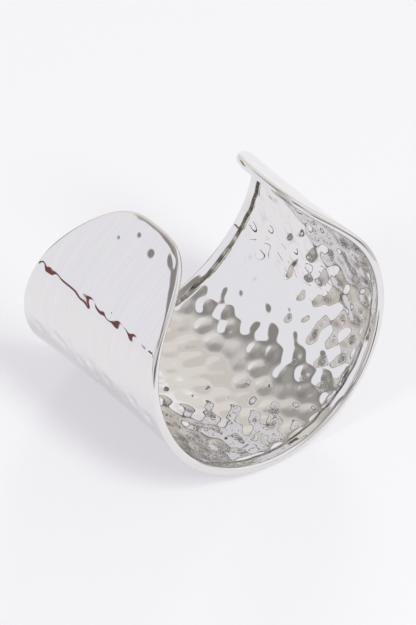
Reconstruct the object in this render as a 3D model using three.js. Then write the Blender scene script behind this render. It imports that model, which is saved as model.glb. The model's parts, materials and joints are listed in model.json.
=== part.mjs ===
// Cuff bracelet: one wide strip of hammered, polished sheet metal with two round lobed ends,
// bent into an open oval. It lies on its closed back with the opening up.
// Millimetres, +Z up. Y runs along the arm, X from end to end across the opening, and the
// origin is at the bottom, under the middle of the back.
import * as THREE from 'three';

// Driving dimensions
const STRIP_LENGTH = 162;   // along the metal, from one tip to the other
const BAND_WIDTH = 59.4;    // across the strip, at the middle of the back
const THICKNESS = 2.0;      // at the plain border
const RIM_SPREAD = 0.85;    // how far the two rims stand out past the middle of the band
const BORDER_WIDTH = 2.6;   // plain border round the inner face
const RECESS = 0.7;         // how far the hammered field lies below that border
const WALL_WIDTH = 1.0;     // slope from the border down to the field
const EDGE_ROUND = 0.85;    // how far the rounding of the edge reaches in from it
const EDGE_STEPS = 5;       // flat facets round the edge, from the outer face to the inner one
const FOOT_WIDTH = 0.9;     // level strip along the outer face's edge
const FOOT_LENGTH = 5.0;    // length of the flat at the middle of the back, on which the part lies
const DENT_PITCH = 5.6;     // from one hammer mark to the next
const DENT_DEPTH = 0.42;
const OUTER_SHARE = 0.3;    // how much of a mark's depth shows on the outer face
const DENT_SCATTER = 0.9;   // how far a mark strays from its even place
const RIM_STEP = 3.1;       // length of one facet along the rim

// Flat outline of the strip: (along / half length) ^ LONG_POWER + (across / half width) ^ CROSS_POWER = 1
const LONG_POWER = 1.48;
const CROSS_POWER = 2.97;

// How the half strip bends from the middle of the back, along 0, to the tip, along 1.
// turn is the turn in radians that the whole half strip would make at that bend. Below
// zero it bends outward, so that the last stretch of each end opens away from the wrist.
const BEND = [
  { along: 0.00, turn: 2.02 },
  { along: 0.25, turn: 2.81 },
  { along: 0.50, turn: 2.46 },
  { along: 0.75, turn: 4.38 },
  { along: 1.00, turn: -2.72 },
];
const BEND_STEPS = 200;

const HALF_LENGTH = STRIP_LENGTH / 2;
const HALF_WIDTH = BAND_WIDTH / 2;
const FAR_OUT = 1000 * STRIP_LENGTH;

// The flat outline, or one drawn in from it by inset, as a closed curve of x along the
// strip and y across it. It starts at the middle of the back's far rim.
class Outline extends THREE.Curve {
  constructor(inset) {
    super();
    this.inset = inset;
    this.arcLengthDivisions = 4000;
  }

  getPoint(share) {
    const angle = share * 2 * Math.PI;
    const along = Math.sin(angle);
    const across = Math.cos(angle);
    return new THREE.Vector3(
      (HALF_LENGTH - this.inset) * Math.sign(along) * Math.abs(along) ** (2 / LONG_POWER),
      (HALF_WIDTH - this.inset) * Math.sign(across) * Math.abs(across) ** (2 / CROSS_POWER),
      0,
    );
  }

  holds(x, y) {
    const along = Math.abs(x) / (HALF_LENGTH - this.inset);
    const across = Math.abs(y) / (HALF_WIDTH - this.inset);
    return along ** LONG_POWER + across ** CROSS_POWER < 1;
  }
}

// The bend
function turnAt(share) {
  const next = Math.max(1, BEND.findIndex((row) => row.along >= share));
  const low = BEND[next - 1];
  const high = BEND[next];
  return THREE.MathUtils.mapLinear(share, low.along, high.along, low.turn, high.turn);
}

// Centre line of the bent sheet at a distance along the strip: its place and its slope angle
function bendAt(along) {
  const share = Math.min(Math.abs(along) / HALF_LENGTH, 1);
  const step = share / BEND_STEPS;
  let x = 0;
  let z = 0;
  let slope = 0;
  for (let i = 0; i < BEND_STEPS; i += 1) {
    const halfTurn = turnAt((i + 0.5) * step) * step / 2;
    slope += halfTurn;
    x += Math.cos(slope) * step;
    z += Math.sin(slope) * step;
    slope += halfTurn;
  }
  const side = Math.sign(along);
  return { x: side * x * HALF_LENGTH, z: z * HALF_LENGTH, slope, side };
}

// A point of the flat strip, bent, and moved out from the middle of the sheet
function bent(flat, out) {
  const line = bendAt(flat.x);
  return [
    line.x + line.side * Math.sin(line.slope) * out,
    flat.y,
    line.z - Math.cos(line.slope) * out,
  ];
}

function spread(across) {
  return RIM_SPREAD * (across / HALF_WIDTH) ** 2;
}

// Rings of points along the rim. All have as many points. One facet lies level across the
// middle of the back at each rim, and the other points are evenly spaced round the two ends.
const outline = new Outline(0);
const outlineLength = outline.getLength();
const endLength = outlineLength / 2 - FOOT_LENGTH;
const END_STEPS = 2 * Math.round(endLength / RIM_STEP / 2);
const rimShares = [0, outlineLength / 2].flatMap((start) => (
  Array.from({ length: END_STEPS + 1 }, (_, i) => (
    outline.getUtoTmapping((start + FOOT_LENGTH / 2 + endLength * i / END_STEPS) / outlineLength)
  ))
));
const RIM_COUNT = rimShares.length;

// The corners of that level facet keep their place along the strip in every ring, so that
// the flat is level from the edge in.
function rimRing(inset) {
  const curve = new Outline(inset);
  return rimShares.map((share, i) => {
    const point = curve.getPoint(share);
    const place = i % (END_STEPS + 1);
    if (place === 0 || place === END_STEPS) {
      point.x = Math.sign(point.x) * FOOT_LENGTH / 2;
    }
    return point;
  });
}

const FIELD_INSET = BORDER_WIDTH + WALL_WIDTH;
const edgeRing = rimRing(0);
const fieldRing = rimRing(FIELD_INSET);

// A ring that follows the sheet's own spread, and one that stays level with the edge
function spreadRing(inset, out) {
  return rimRing(inset).map((point) => bent(point, spread(point.y) + out));
}

function levelRing(inset, out) {
  return rimRing(inset).map((point, i) => bent(point, spread(edgeRing[i].y) + out));
}

// Hammer marks: a scattered honeycomb. Each mark is a low point with six high points around.
function hammered() {
  const pitch = DENT_PITCH / Math.sqrt(3);
  const rowPitch = pitch * Math.sqrt(3) / 2;
  const inside = new Outline(FIELD_INSET + pitch / 2);
  const rows = Math.ceil(HALF_WIDTH / rowPitch);
  const columns = Math.ceil(HALF_LENGTH / pitch) + rows;
  THREE.MathUtils.seededRandom(7);
  const points = [];
  for (let row = -rows; row <= rows; row += 1) {
    for (let column = -columns; column <= columns; column += 1) {
      const angle = 2 * Math.PI * THREE.MathUtils.seededRandom();
      const stray = DENT_SCATTER * Math.sqrt(THREE.MathUtils.seededRandom());
      const force = 0.6 + 0.8 * THREE.MathUtils.seededRandom();
      const x = (column + row / 2) * pitch + stray * Math.cos(angle);
      const y = row * rowPitch + stray * Math.sin(angle);
      const low = (column - row) % 3 === 0;
      if (inside.holds(x, y)) {
        points.push({ x, y, mark: DENT_DEPTH * force * (low ? -2 / 3 : 1 / 3) });
      }
    }
  }
  return points;
}

// Triangles between scattered points of the flat strip, none with another point in its circle
function circleOf(points, corners) {
  const [a, b, c] = corners.map((index) => points[index]);
  const twiceArea = (b.x - a.x) * (c.y - a.y) - (b.y - a.y) * (c.x - a.x);
  const bSquare = (b.x - a.x) ** 2 + (b.y - a.y) ** 2;
  const cSquare = (c.x - a.x) ** 2 + (c.y - a.y) ** 2;
  const x = ((c.y - a.y) * bSquare - (b.y - a.y) * cSquare) / (2 * twiceArea);
  const y = ((b.x - a.x) * cSquare - (c.x - a.x) * bSquare) / (2 * twiceArea);
  return { corners, x: a.x + x, y: a.y + y, square: x * x + y * y };
}

function triangulate(scattered) {
  const count = scattered.length;
  const corners = [-1, 0, 1].map((side) => ({ x: side * FAR_OUT, y: (side === 0 ? 1 : -1) * FAR_OUT }));
  const points = [...scattered, ...corners];
  let triangles = [circleOf(points, [count, count + 2, count + 1])];
  for (let index = 0; index < count; index += 1) {
    const { x, y } = points[index];
    const open = new Map();
    triangles = triangles.filter((triangle) => {
      if ((x - triangle.x) ** 2 + (y - triangle.y) ** 2 > triangle.square) {
        return true;
      }
      triangle.corners.forEach((from, i) => {
        const to = triangle.corners[(i + 1) % 3];
        if (!open.delete(`${to} ${from}`)) {
          open.set(`${from} ${to}`, [from, to]);
        }
      });
      return false;
    });
    for (const [from, to] of open.values()) {
      triangles.push(circleOf(points, [from, to, index]));
    }
  }
  return triangles.map((triangle) => triangle.corners).filter((three) => Math.max(...three) < count);
}

// The rings round the edge, from the outer face's field to the inner face's field
const edgeTurns = Array.from({ length: EDGE_STEPS + 1 }, (_, i) => Math.PI * i / EDGE_STEPS);
const rings = [
  spreadRing(FIELD_INSET, THICKNESS / 2),
  levelRing(EDGE_ROUND + FOOT_WIDTH, THICKNESS / 2),
  ...edgeTurns.map((turn) => levelRing(EDGE_ROUND * (1 - Math.sin(turn)), THICKNESS / 2 * Math.cos(turn))),
  spreadRing(BORDER_WIDTH, -THICKNESS / 2),
  spreadRing(FIELD_INSET, RECESS - THICKNESS / 2),
];

// The marked field, the same triangles for both faces
const marks = hammered();
const field = triangulate([...fieldRing, ...marks]);

function fieldPoints(offset, markShare) {
  return marks.map((point) => bent(point, spread(point.y) + offset + markShare * point.mark));
}

// The field's triangles, its border points in one ring and its marks from another place on
function fieldTriangles(ringStart, markStart) {
  return field.map((three) => three.map((index) => (
    index < RIM_COUNT ? ringStart + index : markStart + index - RIM_COUNT
  )));
}

// Two rings of the same count joined by a band of triangles
function band(first, second) {
  const triangles = [];
  for (let i = 0; i < RIM_COUNT; i += 1) {
    const next = (i + 1) % RIM_COUNT;
    triangles.push([first + i, first + next, second + next], [first + i, second + next, second + i]);
  }
  return triangles;
}

// The whole sheet as one closed mesh
function cuffGeometry() {
  const lastRing = (rings.length - 1) * RIM_COUNT;
  const outerMarks = lastRing + RIM_COUNT;
  const innerMarks = outerMarks + marks.length;
  const positions = [
    ...rings.flat(),
    ...fieldPoints(THICKNESS / 2, OUTER_SHARE),
    ...fieldPoints(RECESS - THICKNESS / 2, 1),
  ].flat();
  const triangles = [
    ...rings.slice(1).flatMap((_, i) => band((i + 1) * RIM_COUNT, i * RIM_COUNT)),
    ...fieldTriangles(0, outerMarks).map((three) => three.reverse()),
    ...fieldTriangles(lastRing, innerMarks),
  ];

  const geometry = new THREE.BufferGeometry();
  geometry.setAttribute('position', new THREE.Float32BufferAttribute(positions, 3));
  geometry.setIndex(triangles.flat());
  geometry.computeVertexNormals();
  geometry.computeBoundingBox();
  geometry.translate(0, 0, -geometry.boundingBox.min.z);
  return geometry;
}

const polishedMetal = new THREE.MeshStandardMaterial({ color: 0xdcdad8, metalness: 1, roughness: 0.12 });
const cuffBand = new THREE.Mesh(cuffGeometry(), polishedMetal);
cuffBand.name = 'cuff_band';

const bracelet = new THREE.Group();
bracelet.add(cuffBand);

export default bracelet;
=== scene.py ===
"""Cuff bracelet of hammered, polished sheet metal, lying on its closed back on a plain pale floor.

Units are metres. Y runs along the arm, X from end to end across the opening, Z is up.
The sheet is laid out flat, marked by the hammer, and bent round the wrist.
"""

import json
import math

import bpy
import numpy as np
from mathutils import Matrix, Vector
from mathutils.geometry import delaunay_2d_cdt

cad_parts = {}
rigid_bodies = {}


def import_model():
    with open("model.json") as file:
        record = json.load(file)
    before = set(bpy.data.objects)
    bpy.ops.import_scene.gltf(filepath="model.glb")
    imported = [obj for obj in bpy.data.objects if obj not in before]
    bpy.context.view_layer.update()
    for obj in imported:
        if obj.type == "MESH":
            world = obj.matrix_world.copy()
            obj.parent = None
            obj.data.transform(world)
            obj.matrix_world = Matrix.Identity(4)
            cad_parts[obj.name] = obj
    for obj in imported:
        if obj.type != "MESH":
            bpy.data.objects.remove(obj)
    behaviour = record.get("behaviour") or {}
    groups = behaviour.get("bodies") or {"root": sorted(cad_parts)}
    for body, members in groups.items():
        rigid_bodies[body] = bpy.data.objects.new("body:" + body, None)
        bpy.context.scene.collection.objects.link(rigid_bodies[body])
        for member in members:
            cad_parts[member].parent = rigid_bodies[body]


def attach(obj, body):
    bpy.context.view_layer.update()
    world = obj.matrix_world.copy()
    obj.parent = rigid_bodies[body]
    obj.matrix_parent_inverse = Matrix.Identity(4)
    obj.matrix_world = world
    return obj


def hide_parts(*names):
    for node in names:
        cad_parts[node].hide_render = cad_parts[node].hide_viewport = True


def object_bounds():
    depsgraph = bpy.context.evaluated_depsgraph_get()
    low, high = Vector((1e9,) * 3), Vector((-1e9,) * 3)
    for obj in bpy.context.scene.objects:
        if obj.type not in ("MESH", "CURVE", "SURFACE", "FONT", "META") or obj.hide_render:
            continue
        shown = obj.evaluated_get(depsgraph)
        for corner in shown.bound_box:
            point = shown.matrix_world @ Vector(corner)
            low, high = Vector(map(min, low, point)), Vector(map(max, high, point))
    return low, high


for startup_object in list(bpy.data.objects):
    bpy.data.objects.remove(startup_object)

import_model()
cad_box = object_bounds()

MM = 0.001

# The flat strip, its raised border and its bend, as in the part's source
STRIP_LENGTH = 162 * MM
BAND_WIDTH = 59.4 * MM
THICKNESS = 2.0 * MM      # at the border
RIM_SPREAD = 0.85 * MM    # how far the rims stand out from the middle of the band
BORDER_WIDTH = 2.6 * MM
RECESS = 0.7 * MM         # how deep the hammered field lies under the border
WALL_WIDTH = 1.0 * MM     # of the slope from the border down to the field
EDGE_ROUND = 0.85 * MM    # width of the rounded edge
LONG_POWER = 1.48         # of the outline: more keeps the band wide for longer
CROSS_POWER = 2.97        # more makes the ends blunter

# How fast the strip turns, in radians for each half strip, at these shares of the half strip
BEND_ALONG = [0.00, 0.25, 0.50, 0.75, 1.00]
BEND_TURN = [2.02, 2.81, 2.46, 4.38, -2.72]

# Hammer marks
DENT_PITCH = 5.6 * MM
DENT_SCATTER = 1.1 * MM
DENT_RADIUS = 2.15 * MM
DENT_DEPTH = 0.33 * MM    # on the inner face
DENT_GROWTH = 0.65        # how much deeper the marks get towards the far tip
DENT_POWER = 2.6          # 2 would be a bell curve, more is a flatter dome with steeper sides
OUTER_DEPTH = 0.16 * MM
FIELD_INSET = 3.85 * MM   # from the edge to where the scattered points of the field begin
FIELD_BLEND = 0.9 * MM    # over which the inner marks come in from there

# Small departures from the even border and edge
BORDER_BLEND = 1.0 * MM   # over which the wave and the outer marks come in from the rounded edge
BORDER_WAVE = 0.012 * MM
BORDER_TILT = 0.12        # how steeply the border's face falls away from the edge towards the wall
WALL_STRAY = 0.07 * MM    # how far the wall wanders to either side
WALL_FILLET = 0.2         # share of the wall's width that rounds off at its top and at its foot
CREASE_START = -0.1       # where the painted shade lies, as shares of the way down the wall
CREASE_END = 1.15
CREASE_BLEND = 0.3
EASE = 0.33 * MM          # at both ends the outer face falls off a little towards its edge
EASE_WIDTH = 3.0 * MM
EASE_START = 60 * MM      # from the middle of the back
EASE_BLEND = 8 * MM

# Fineness of the mesh
CELL = 0.5 * MM
OUTER_CELL = 0.62 * MM
NEAR_CELL = 0.4 * MM      # on the outer face of the near end
RIM_CELL = 0.48 * MM
EDGE_STEPS = 12
EDGE_POWER = 2.2          # 2 would be a half round edge, more is flatter with tighter corners
OUTER_DEPTHS = [1.4 * MM, 1.9 * MM, 2.4 * MM, 2.9 * MM, 3.4 * MM]
INNER_DEPTHS = [1.2 * MM, 1.6 * MM, 2.0 * MM] + [(2.3 + 0.11 * step) * MM for step in range(14)]

HALF_LENGTH = STRIP_LENGTH / 2
HALF_WIDTH = BAND_WIDTH / 2


# The bend
def bend_table(steps=4000):
    """Share along the half strip, place and slope of the sheet's middle line."""
    share = np.linspace(0, 1, steps + 1)
    turn = np.interp(share, BEND_ALONG, BEND_TURN)
    slope = np.concatenate([[0], np.cumsum((turn[1:] + turn[:-1]) / 2 / steps)])
    middle = (slope[1:] + slope[:-1]) / 2
    x = np.concatenate([[0], np.cumsum(np.cos(middle) / steps)])
    z = np.concatenate([[0], np.cumsum(np.sin(middle) / steps)])
    return share, x * HALF_LENGTH, z * HALF_LENGTH, slope


BEND = bend_table()


def bent(flat, out):
    """Flat points (along, across) bent round and moved out from the middle of the sheet."""
    share = np.minimum(np.abs(flat[:, 0]) / HALF_LENGTH, 1)
    side = np.sign(flat[:, 0])
    x = np.interp(share, BEND[0], BEND[1])
    z = np.interp(share, BEND[0], BEND[2])
    slope = np.interp(share, BEND[0], BEND[3])
    x = side * (x + np.sin(slope) * out)
    z = z - np.cos(slope) * out
    return np.stack([x, flat[:, 1], z], axis=1)


def spread(across):
    """How far the band stands out at this distance from its middle line."""
    return RIM_SPREAD * (across / HALF_WIDTH) ** 2


# The flat outline
def outline(angle, inset):
    """Points of the lobed outline, or of one that lies further in."""
    along, across = np.sin(angle), np.cos(angle)
    x = (HALF_LENGTH - inset) * np.sign(along) * np.abs(along) ** (2 / LONG_POWER)
    y = (HALF_WIDTH - inset) * np.sign(across) * np.abs(across) ** (2 / CROSS_POWER)
    return np.stack([x, y], axis=1)


def rim_angles():
    """Angles that space the rim's points evenly, half a step off the middle of the back."""
    fine = np.linspace(0, 2 * math.pi, 40001)
    points = outline(fine, 0)
    length = np.concatenate([[0], np.cumsum(np.hypot(*np.diff(points, axis=0).T))])
    count = 4 * round(length[-1] / RIM_CELL / 4)
    return np.interp((np.arange(count) + 0.5) / count * length[-1], length, fine)


def edge_distance(flat):
    """Rough distance in from the rim, exact enough near it."""
    along = np.abs(flat[:, 0]) / HALF_LENGTH
    across = np.abs(flat[:, 1]) / HALF_WIDTH
    level = along ** LONG_POWER + across ** CROSS_POWER
    slope = np.hypot(
        LONG_POWER * along ** (LONG_POWER - 1) / HALF_LENGTH,
        CROSS_POWER * across ** (CROSS_POWER - 1) / HALF_WIDTH,
    )
    return (1 - level) / np.maximum(slope, 1e-6)


# Hammer marks: a scattered honeycomb of shallow, slightly oval dents. The outer face is smoother
# from NEAR_END to the near tip, and there it holds only the few marks that show.
NEAR_END = -54.5 * MM
NEAR_MARKS = [
    # along, across, radius, depth, in millimetres
    (-57.3, 21.0, 1.3, 0.095),
    (-57.6, 19.3, 1.3, 0.045),
    (-57.9, 17.7, 1.4, 0.042),
    (-58.1, 15.9, 1.3, 0.036),
    (-56.5, 14.6, 0.9, 0.085),
    (-58.1, 6.2, 1.3, 0.035),
    (-58.2, 4.9, 1.6, 0.055),
    (-58.2, 3.2, 1.6, 0.060),
    (-57.3, 2.4, 1.1, 0.070),
    (-58.2, -1.6, 1.4, 0.035),
    (-58.9, -4.1, 0.9, 0.085),
    (-58.1, -6.4, 1.5, 0.045),
    (-58.0, -7.9, 1.4, 0.045),
    (-56.9, -9.6, 1.0, 0.100),
    (-57.9, -12.6, 1.4, 0.050),
    (-57.8, -14.0, 1.4, 0.045),
    (-60.0, -14.6, 0.7, 0.090),
    (-77.5, 1.4, 1.2, 0.145),
    (-76.1, -4.6, 1.5, 0.215),
    (-78.4, -10.9, 2.0, 0.420),
    (-73.8, 5.6, 0.8, 0.070),
]

# Deeper marks low on the near side, which draw the soft streaks there
LOW_MARKS = [
    # along, across, radius, depth, in millimetres
    (-39.9, 20.8, 1.5, 0.220),
    (-41.4, 13.6, 1.6, 0.220),
    (-41.0, 11.2, 1.6, 0.220),
    (-43.2, 8.6, 1.5, 0.200),
    (-39.6, 5.0, 1.5, 0.220),
    (-42.0, 1.4, 1.5, 0.200),
    (-38.3, -0.6, 1.5, 0.220),
    (-40.8, -5.0, 1.5, 0.200),
    (-39.4, -11.4, 1.5, 0.220),
    (-42.0, -15.0, 1.5, 0.200),
    (-40.6, -20.5, 1.6, 0.220),
]


def scattered_marks():
    """Along, across, radius, outer depth, inner depth, stretch and its turn, a row for each mark."""
    row_pitch = DENT_PITCH * math.sqrt(3) / 2
    rows = math.ceil(HALF_WIDTH / row_pitch) + 1
    columns = math.ceil(HALF_LENGTH / DENT_PITCH) + rows

    # every mark strays from its place and has its own depth, size and shape
    random = np.random.default_rng(7)
    row, column = np.mgrid[-rows:rows + 1, -columns:columns + 1]
    stray = DENT_SCATTER * np.sqrt(random.random(row.shape))
    angle = 2 * math.pi * random.random(row.shape)
    x = (column + row / 2) * DENT_PITCH + stray * np.cos(angle)
    y = row * row_pitch + stray * np.sin(angle)
    inner_depth = DENT_DEPTH * (0.65 + 0.65 * random.random(row.shape))
    inner_depth *= 1 + DENT_GROWTH * np.clip(x / HALF_LENGTH, 0, 1)
    outer_depth = OUTER_DEPTH * (0.35 + 0.65 * random.random(row.shape))
    radius = DENT_RADIUS * (0.9 + 0.2 * random.random(row.shape))
    stretch = 1 + 0.1 * random.random(row.shape)
    turn = math.pi * random.random(row.shape)
    values = (x, y, radius, outer_depth, inner_depth, stretch, turn)
    return np.stack([value.ravel() for value in values], axis=1)


def hammered(flat, side):
    """Height of the marked sheet over its even surface; side is 1 outside and -1 inside."""
    marks = scattered_marks()
    if side > 0:
        near = [
            (along * MM, across * MM, radius * MM, depth * MM, 0, 1, 0)
            for along, across, radius, depth in NEAR_MARKS + LOW_MARKS
        ]
        marks = np.concatenate([marks[marks[:, 0] > NEAR_END], near])
    height = np.zeros(len(flat))
    for along, across, radius, outer_depth, inner_depth, stretch, turn in marks:
        close = np.abs(flat[:, 0] - along) < 2.5 * radius
        x, y = flat[close, 0] - along, flat[close, 1] - across
        long = (x * math.cos(turn) + y * math.sin(turn)) / (radius * stretch)
        short = (y * math.cos(turn) - x * math.sin(turn)) / (radius / stretch)
        depth, power = (outer_depth, 2) if side > 0 else (inner_depth, DENT_POWER)
        height[close] -= depth * np.exp(-np.hypot(long, short) ** power)
    return height


# The sheet
def flat_points(cell):
    """Points inside the border, in a fine honeycomb."""
    row_pitch = cell * math.sqrt(3) / 2
    rows = int(HALF_WIDTH / row_pitch)
    columns = int(HALF_LENGTH / cell) + 1
    row, column = np.mgrid[-rows:rows + 1, -columns:columns + 1]
    x = (column + (row % 2) / 2) * cell
    points = np.stack([x.ravel(), row.ravel() * row_pitch], axis=1)
    inset = FIELD_INSET + 0.6 * cell
    along = np.abs(points[:, 0]) / (HALF_LENGTH - inset)
    across = np.abs(points[:, 1]) / (HALF_WIDTH - inset)
    return points[along ** LONG_POWER + across ** CROSS_POWER < 1]


def field_triangles(ring, cell, near_cell):
    """Flat points of the field, the ring's first, and the triangles between them.

    The cells are near_cell wide at the near end and cell wide elsewhere.
    """
    count = len(ring)
    points = flat_points(cell)
    finer = flat_points(near_cell)
    finer = finer[finer[:, 0] < NEAR_END]
    scattered = np.concatenate([ring, finer, points[points[:, 0] > NEAR_END + cell / 2]])
    loop = [(i, (i + 1) % count) for i in range(count)]
    cdt = delaunay_2d_cdt([Vector(p) for p in scattered / MM], loop, [], 1, 1e-5)
    assert len(cdt[0]) == len(scattered)
    order = np.array([source[0] for source in cdt[3]])
    return scattered, order[np.array(cdt[2])]


def ripple(count, seed, slowest, fastest):
    """A smooth random wave round the rim, about 1 high, from so many waves to so many."""
    random = np.random.default_rng(seed)
    turn = 2 * math.pi * np.arange(count) / count
    waves = np.arange(slowest, fastest + 1)
    height = random.normal(size=len(waves)) / math.sqrt(len(waves) / 2)
    phase = 2 * math.pi * random.random(len(waves))
    return (height[:, None] * np.sin(waves[:, None] * turn + phase[:, None])).sum(axis=0)


def smooth_share(value):
    """The value kept between 0 and 1, with a soft start and end."""
    share = np.clip(value, 0, 1)
    return share * share * (3 - 2 * share)


def wall_share(value):
    """Share of the way down the wall: an even slope, rounded at both ends."""
    share = np.clip(value, 0, 1)
    top = np.minimum(share, WALL_FILLET)
    foot = np.maximum(share - (1 - WALL_FILLET), 0)
    rounded = share - top + top ** 2 / (2 * WALL_FILLET) - foot ** 2 / (2 * WALL_FILLET)
    return rounded / (1 - WALL_FILLET)


def ease(flat, depth):
    """How far the outer face falls off at this depth from the edge."""
    end = smooth_share((np.abs(flat[:, 0]) - EASE_START) / EASE_BLEND)
    return EASE * max(1 - depth / EASE_WIDTH, 0) ** 2 * end


def band(first, second, count):
    """Quads between two rings of count points, given the number of each ring's first point."""
    here = np.arange(count)
    there = (here + 1) % count
    return np.stack([first + here, first + there, second + there, second + here], axis=1)


class SheetMesh:
    """One closed mesh, gathered ring by ring: rounded edge, then border and field on both faces."""

    def __init__(self):
        self.angles = rim_angles()
        self.ring_size = len(self.angles)
        wall_ripple = ripple(self.ring_size, seed=3, slowest=30, fastest=75)
        self.wall_start = BORDER_WIDTH + WALL_STRAY * wall_ripple
        self.border_wave = BORDER_WAVE * ripple(self.ring_size, seed=5, slowest=30, fastest=90)
        self.points = []
        self.places = []    # where each point lies on the flat sheet: along, across, and 1 if outside
        self.creases = []   # 1 in the crease under the border, where the shade is painted, 0 elsewhere
        self.faces = []
        self.size = 0

    def add(self, flat, out, outside, crease=0.0):
        """Adds points and gives the number of the first."""
        first = self.size
        self.points.append(bent(flat, out))
        self.places.append(np.column_stack([flat, np.full(len(flat), float(outside))]))
        self.creases.append(np.full(len(flat), 0.0) + crease)
        self.size += len(flat)
        return first

    def join(self, first, second, side):
        """Adds the quads between two rings; side is 1 on the outer face and -1 on the inner."""
        quads = band(first, second, self.ring_size)
        self.faces.append(quads if side > 0 else quads[:, ::-1])

    def add_edge(self):
        """The rounded edge, from the outer face round to the inner one; gives its end rings."""
        rim_out = spread(outline(self.angles, 0)[:, 1])
        rings = []
        for step in range(EDGE_STEPS + 1):
            turn = math.pi * step / EDGE_STEPS
            inset = EDGE_ROUND * (1 - math.sin(turn) ** (2 / EDGE_POWER))
            side = math.copysign(abs(math.cos(turn)) ** (2 / EDGE_POWER), math.cos(turn))
            ring = outline(self.angles, inset)
            out = rim_out + THICKNESS / 2 * side - max(side, 0) * ease(ring, inset)
            rings.append(self.add(ring, out, side > 0))
        for first, second in zip(rings, rings[1:]):
            self.join(first, second, -1)
        return rings[0], rings[-1]

    def border_out(self, ring, depth, side, down):
        """How far out one ring of the border lies; down is its share of the way down the wall."""
        share = wall_share(down) if side < 0 else 0
        blend = smooth_share((depth - EDGE_ROUND) / BORDER_BLEND)
        out = spread(ring[:, 1]) + side * THICKNESS / 2 + share * RECESS
        out = out + self.border_wave * blend * (1 - share)
        if side < 0:
            return out + BORDER_TILT * (depth - EDGE_ROUND) * (1 - share)
        return out + blend * hammered(ring, side) - ease(ring, depth)

    def add_border(self, side, previous, depths):
        """The border's rings on one face, from the edge's ring inward; gives the last one."""
        for depth in depths:
            ring = outline(self.angles, depth)
            down = (depth - self.wall_start) / WALL_WIDTH
            into = smooth_share((down - CREASE_START) / CREASE_BLEND)
            crease = into * smooth_share((CREASE_END - down) / CREASE_BLEND)
            out = self.border_out(ring, depth, side, down)
            first = self.add(ring, out, side > 0, crease if side < 0 else 0)
            self.join(previous, first, side)
            previous = first
        return previous

    def add_field(self, side, previous, cell, near_cell):
        """The hammered field of one face, inside the border's last ring."""
        flat, triangles = field_triangles(outline(self.angles, FIELD_INSET), cell, near_cell)
        out = spread(flat[:, 1]) + side * THICKNESS / 2
        blend = 1
        if side < 0:
            out = out + RECESS
            blend = smooth_share((edge_distance(flat) - FIELD_INSET) / FIELD_BLEND)
        first = self.add(flat, out + blend * hammered(flat, side), side > 0)
        self.join(previous, first, side)
        self.faces.append(first + (triangles[:, ::-1] if side > 0 else triangles))

    def to_object(self, name):
        """The finished mesh as an object that stands where the solid does."""
        points = np.concatenate(self.points)
        points[:, 2] -= points[:, 2].min() - cad_box[0][2]
        mesh = bpy.data.meshes.new(name)
        mesh.from_pydata(points.tolist(), [], [row.tolist() for block in self.faces for row in block])
        mesh.shade_smooth()
        place = mesh.attributes.new("flat_place", "FLOAT_VECTOR", "POINT")
        place.data.foreach_set("vector", np.concatenate(self.places).ravel())
        crease = mesh.attributes.new("crease", "FLOAT", "POINT")
        crease.data.foreach_set("value", np.concatenate(self.creases))
        sheet = bpy.data.objects.new(name, mesh)
        bpy.context.collection.objects.link(sheet)
        return sheet


def build_sheet(name):
    sheet = SheetMesh()
    outer_ring, inner_ring = sheet.add_edge()
    outer_ring = sheet.add_border(1, outer_ring, OUTER_DEPTHS)
    sheet.add_field(1, outer_ring, OUTER_CELL, NEAR_CELL)
    inner_ring = sheet.add_border(-1, inner_ring, INNER_DEPTHS)
    sheet.add_field(-1, inner_ring, CELL, CELL)
    return sheet.to_object(name)


# Node helpers
def link(tree, value, socket):
    """Sets a socket to a number, a colour or another node's output."""
    if isinstance(value, bpy.types.NodeSocket):
        tree.links.new(value, socket)
    else:
        socket.default_value = value


def math_node(tree, operation, first, second=0.0, third=0.0):
    """The result of one sum or function of numbers or other nodes' outputs."""
    node = tree.nodes.new("ShaderNodeMath")
    node.operation = operation
    for value, socket in zip((first, second, third), node.inputs):
        link(tree, value, socket)
    return node.outputs[0]


def smooth_step(tree, value, low, high):
    """0 at low, 1 at high and soft between them."""
    node = tree.nodes.new("ShaderNodeMapRange")
    node.interpolation_type = "SMOOTHSTEP"
    for name, setting in (("Value", value), ("From Min", low), ("From Max", high)):
        link(tree, setting, node.inputs[name])
    return node.outputs["Result"]


def mix_colour(tree, share, first, second):
    """The first colour at share 0, the second at share 1."""
    node = tree.nodes.new("ShaderNodeMix")
    node.data_type = "RGBA"
    for socket, value in ((0, share), (6, first), (7, second)):
        link(tree, value, node.inputs[socket])
    return node.outputs[2]


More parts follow.
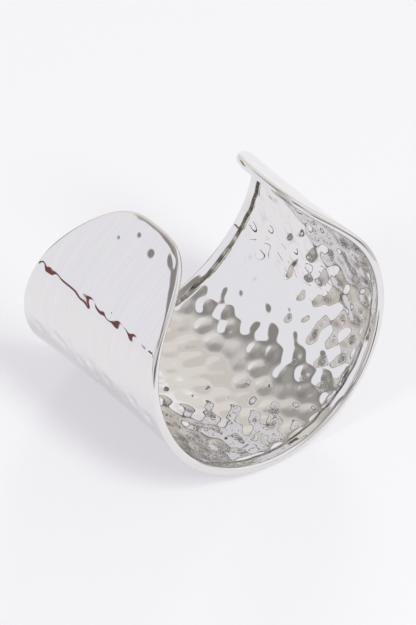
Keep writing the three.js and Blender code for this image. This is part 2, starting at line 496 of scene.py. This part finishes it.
# Studio surroundings that the metal mirrors. Azimuth 0 is +Y and 90 is +X, in degrees. Each panel
# is a soft-edged patch of the surroundings, and covers the ones above it in the list.
AROUND = (0.71, 0.69, 0.68, 1)
PANELS = [
    # name, azimuth from and to, elevation from and to, softness in each, colour
    ("pale backdrop", (-135, 20), (-90, 42), (5, 1.2), (0.905, 0.905, 0.955, 1)),
    ("grey side of the backdrop", (-112, -72), (-8, 38), (6, 6), (0.60, 0.59, 0.60, 1)),
    ("cream wall", (2, 75), (-90, 65), (22, 22), (0.82, 0.787, 0.74, 1)),
    ("upper cream wall", (8, 80), (46, 65), (14, 5), (0.70, 0.66, 0.615, 1)),
    ("grey ceiling", (-110, -16), (43, 60), (24, 1.5), (0.295, 0.277, 0.266, 1)),
    ("top of the ceiling", (-120, -2), (56, 120), (24, 4), (0.38, 0.36, 0.345, 1)),
    ("grey top", (-60, 110), (66, 120), (12, 4), (0.40, 0.39, 0.36, 1)),
    ("pale wall above", (-150, -58), (60, 120), (8, 4), (0.88, 0.88, 0.92, 1)),
    ("white corner", (45, 62), (12, 28), (4, 4), (0.94, 0.94, 0.98, 1)),
    ("brown gap behind", (-25, 8), (-2, 17), (5, 5), (0.30, 0.235, 0.17, 1)),
    ("table edge", (-90, -50), (-6.1, -3.9), (1, 0.3), (0.17, 0.075, 0.07, 1)),
    ("bright window", (78, 150), (6, 75), (8, 8), (0.96, 0.95, 0.94, 1)),
    ("dark gap in front", (148, 212), (-9, 4), (4, 4), (0.16, 0.15, 0.17, 1)),
    ("dark stand", (205, 238), (26, 52), (6, 5), (0.13, 0.125, 0.12, 1)),
]


def panel_mask(tree, azimuth, elevation, panel):
    """1 inside a panel, 0 outside it."""
    _, (az_from, az_to), (el_from, el_to), (az_soft, el_soft), _ = panel
    turned = math_node(tree, "SUBTRACT", azimuth, (az_from + az_to) / 2)
    off = math_node(tree, "ABSOLUTE", math_node(tree, "WRAP", turned, 180.0, -180.0))
    half = (az_to - az_from) / 2
    az_mask = smooth_step(tree, off, half + az_soft, half - az_soft)
    low_mask = smooth_step(tree, elevation, el_from - el_soft, el_from + el_soft)
    high_mask = smooth_step(tree, elevation, el_to + el_soft, el_to - el_soft)
    lower = math_node(tree, "MULTIPLY", az_mask, low_mask)
    return math_node(tree, "MULTIPLY", lower, high_mask)


def build_world():
    world = bpy.data.worlds.new("studio")
    bpy.context.scene.world = world
    world.use_nodes = True
    tree = world.node_tree
    direction = tree.nodes.new("ShaderNodeTexCoord").outputs["Generated"]
    split = tree.nodes.new("ShaderNodeSeparateXYZ")
    tree.links.new(direction, split.inputs[0])
    x, y, z = split.outputs
    azimuth = math_node(tree, "DEGREES", math_node(tree, "ARCTAN2", x, y))
    elevation = math_node(tree, "DEGREES", math_node(tree, "ARCSINE", z))
    colour = AROUND
    for panel in PANELS:
        colour = mix_colour(tree, panel_mask(tree, azimuth, elevation, panel), colour, panel[-1])
    link(tree, colour, tree.nodes["Background"].inputs["Color"])


# Polished metal: one colour inside, streaks of two tints outside, painted shade in the crease
METAL = (0.82, 0.81, 0.805, 1)
PINKISH = (0.835, 0.81, 0.82, 1)
CREAMY = (0.83, 0.825, 0.81, 1)
# Painted shade: a dark colour laid into the crease under the inner border
CREASE_SHADE = (0.22, 0.195, 0.16, 1)
HAIRLINE_DEPTH = 0.0006 * MM
HAIRLINE_SHADE = 0.035


def flat_place(tree):
    """Where the point lies on the flat sheet, in millimetres, and 1 outside or 0 inside."""
    place = tree.nodes.new("ShaderNodeAttribute")
    place.attribute_name = "flat_place"
    split = tree.nodes.new("ShaderNodeSeparateXYZ")
    tree.links.new(place.outputs["Vector"], split.inputs[0])
    along = math_node(tree, "DIVIDE", split.outputs[0], MM)
    across = math_node(tree, "DIVIDE", split.outputs[1], MM)
    return along, across, split.outputs[2]


def streaks(tree, along, across, length, width, detail):
    """Noise drawn out along the strip; length and width in millimetres."""
    point = tree.nodes.new("ShaderNodeCombineXYZ")
    link(tree, math_node(tree, "DIVIDE", along, length), point.inputs[0])
    link(tree, math_node(tree, "DIVIDE", across, width), point.inputs[1])
    noise = tree.nodes.new("ShaderNodeTexNoise")
    noise.inputs["Scale"].default_value = 1.0
    noise.inputs["Detail"].default_value = detail
    link(tree, point.outputs[0], noise.inputs["Vector"])
    return noise.outputs["Fac"]


def brushed_colour(tree, along, across, hairline):
    """Faint broad streaks of two tints, darker along the hairlines."""
    streak = streaks(tree, along, across, length=45.0, width=2.2, detail=2.0)
    tint = mix_colour(tree, smooth_step(tree, streak, 0.35, 0.65), PINKISH, CREAMY)
    fine = smooth_step(tree, hairline, 0.35, 0.65)
    shade = math_node(tree, "MULTIPLY_ADD", fine, HAIRLINE_SHADE, 1 - HAIRLINE_SHADE)
    return mix_colour(tree, shade, (0, 0, 0, 1), tint)


def crease_shade_share(tree, along, across):
    """Patches of painted shade in the crease where the hammered field meets the border."""
    crease = tree.nodes.new("ShaderNodeAttribute")
    crease.attribute_name = "crease"
    cloud = streaks(tree, along, across, length=2.5, width=2.5, detail=2.0)
    patch = smooth_step(tree, cloud, 0.1, 0.6)
    return math_node(tree, "MULTIPLY", crease.outputs["Fac"], patch)


def metal_material():
    """Polished metal, with fine hairlines round the outside."""
    material = bpy.data.materials.new("polished_metal")
    material.use_nodes = True
    tree = material.node_tree
    shader = tree.nodes["Principled BSDF"]
    shader.inputs["Metallic"].default_value = 1.0
    shader.inputs["Roughness"].default_value = 0.03

    along, across, outside = flat_place(tree)
    hairline = streaks(tree, along, across, length=25.0, width=0.55, detail=3.0)
    colour = mix_colour(tree, outside, METAL, brushed_colour(tree, along, across, hairline))
    # painted shade in the crease under the border, in patches
    colour = mix_colour(tree, crease_shade_share(tree, along, across), colour, CREASE_SHADE)
    link(tree, colour, shader.inputs["Base Color"])

    bump = tree.nodes.new("ShaderNodeBump")
    bump.inputs["Distance"].default_value = HAIRLINE_DEPTH
    link(tree, hairline, bump.inputs["Height"])
    link(tree, outside, bump.inputs["Strength"])
    link(tree, bump.outputs["Normal"], shader.inputs["Normal"])
    return material


def build_cuff():
    sheet = build_sheet("hammered_cuff")
    sheet.data.materials.append(metal_material())
    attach(sheet, "root")
    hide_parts("cuff_band")
    return sheet


# Floor, lights and camera
FLOOR_HALF = 165 * MM
FLOOR_PAPER = (0.188, 0.19, 0.192, 1)
FLOOR_GLOW = (0.529, 0.502, 0.549, 1)

# None of the lights shows as a lamp in the polished metal
LIGHTS = [
    # name, azimuth and elevation in degrees, power
    ("high key", 180, 60, 24.0),
    ("low key", 180, 40, 23.0),
    ("side fill", 45, 22, 18.5),
    ("left fill", -90, 40, 13.5),
]
LIGHT_DISTANCE = 1.8
LIGHT_SIZE = 0.57
LIGHT_COLOUR = (0.93, 1.0, 0.90)

# The camera looks towards the azimuth and down by the elevation
VIEW_AZIMUTH = math.radians(40.7)
VIEW_ELEVATION = math.radians(39.2)
VIEW_ROLL = math.radians(3.2)
VIEW_DISTANCE = 1.2
VIEW_AIM = Vector((0, 0, 27 * MM))
IMAGE_WIDTH, IMAGE_HEIGHT = 416, 625
PIXELS_PER_METRE = 4365
AIM_PIXEL = (204.2, 305.5)  # where the aim shows in the photo's frame
SENSOR = 36.0


def paper_material():
    """Matt paper that glows a little, as evenly lit paper does."""
    material = bpy.data.materials.new("floor_paper")
    material.use_nodes = True
    shader = material.node_tree.nodes["Principled BSDF"]
    shader.inputs["Base Color"].default_value = FLOOR_PAPER
    shader.inputs["Roughness"].default_value = 0.9
    shader.inputs["Specular IOR Level"].default_value = 0.1
    shader.inputs["Emission Color"].default_value = FLOOR_GLOW
    shader.inputs["Emission Strength"].default_value = 1.0
    return material


def build_floor():
    """A flat sheet of paper at the height on which the cuff lies."""
    mesh = bpy.data.meshes.new("floor")
    signs = [(-1, -1), (1, -1), (1, 1), (-1, 1)]
    corners = [(x * FLOOR_HALF, y * FLOOR_HALF, cad_box[0][2]) for x, y in signs]
    mesh.from_pydata(corners, [], [(0, 1, 2, 3)])
    mesh.materials.append(paper_material())
    floor = bpy.data.objects.new("floor", mesh)
    bpy.context.collection.objects.link(floor)


def build_lights():
    for name, azimuth, elevation, power in LIGHTS:
        data = bpy.data.lights.new(name, "AREA")
        data.shape = "DISK"
        data.size = LIGHT_SIZE
        data.energy = power
        data.color = LIGHT_COLOUR
        lamp = bpy.data.objects.new(name, data)
        az, el = math.radians(azimuth), math.radians(elevation)
        outward = Vector((math.sin(az) * math.cos(el), math.cos(az) * math.cos(el), math.sin(el)))
        lamp.location = VIEW_AIM + LIGHT_DISTANCE * outward
        lamp.rotation_euler = (-outward).to_track_quat("-Z", "Y").to_euler()
        lamp.visible_glossy = False
        bpy.context.collection.objects.link(lamp)


def build_camera():
    forward = Vector((
        math.sin(VIEW_AZIMUTH) * math.cos(VIEW_ELEVATION),
        math.cos(VIEW_AZIMUTH) * math.cos(VIEW_ELEVATION),
        -math.sin(VIEW_ELEVATION),
    ))
    level = Vector((math.cos(VIEW_AZIMUTH), -math.sin(VIEW_AZIMUTH), 0))
    upright = level.cross(forward)
    right = level * math.cos(VIEW_ROLL) + upright * math.sin(VIEW_ROLL)
    up = upright * math.cos(VIEW_ROLL) - level * math.sin(VIEW_ROLL)
    off_right = (IMAGE_WIDTH / 2 - AIM_PIXEL[0]) / PIXELS_PER_METRE
    off_up = (AIM_PIXEL[1] - IMAGE_HEIGHT / 2) / PIXELS_PER_METRE
    place = VIEW_AIM + right * off_right + up * off_up - forward * VIEW_DISTANCE

    data = bpy.data.cameras.new("camera")
    data.sensor_width = SENSOR
    data.lens = SENSOR * PIXELS_PER_METRE * VIEW_DISTANCE / IMAGE_HEIGHT
    data.clip_start = 0.01
    camera = bpy.data.objects.new("camera", data)
    camera.matrix_world = Matrix((
        (right.x, up.x, -forward.x, place.x),
        (right.y, up.y, -forward.y, place.y),
        (right.z, up.z, -forward.z, place.z),
        (0, 0, 0, 1),
    ))
    bpy.context.collection.objects.link(camera)
    bpy.context.scene.camera = camera


def set_colours():
    view = bpy.context.scene.view_settings
    view.view_transform = "Standard"
    view.look = "None"
    view.exposure = 0.0


build_camera()
build_world()
build_floor()
build_lights()
build_cuff()
set_colours()
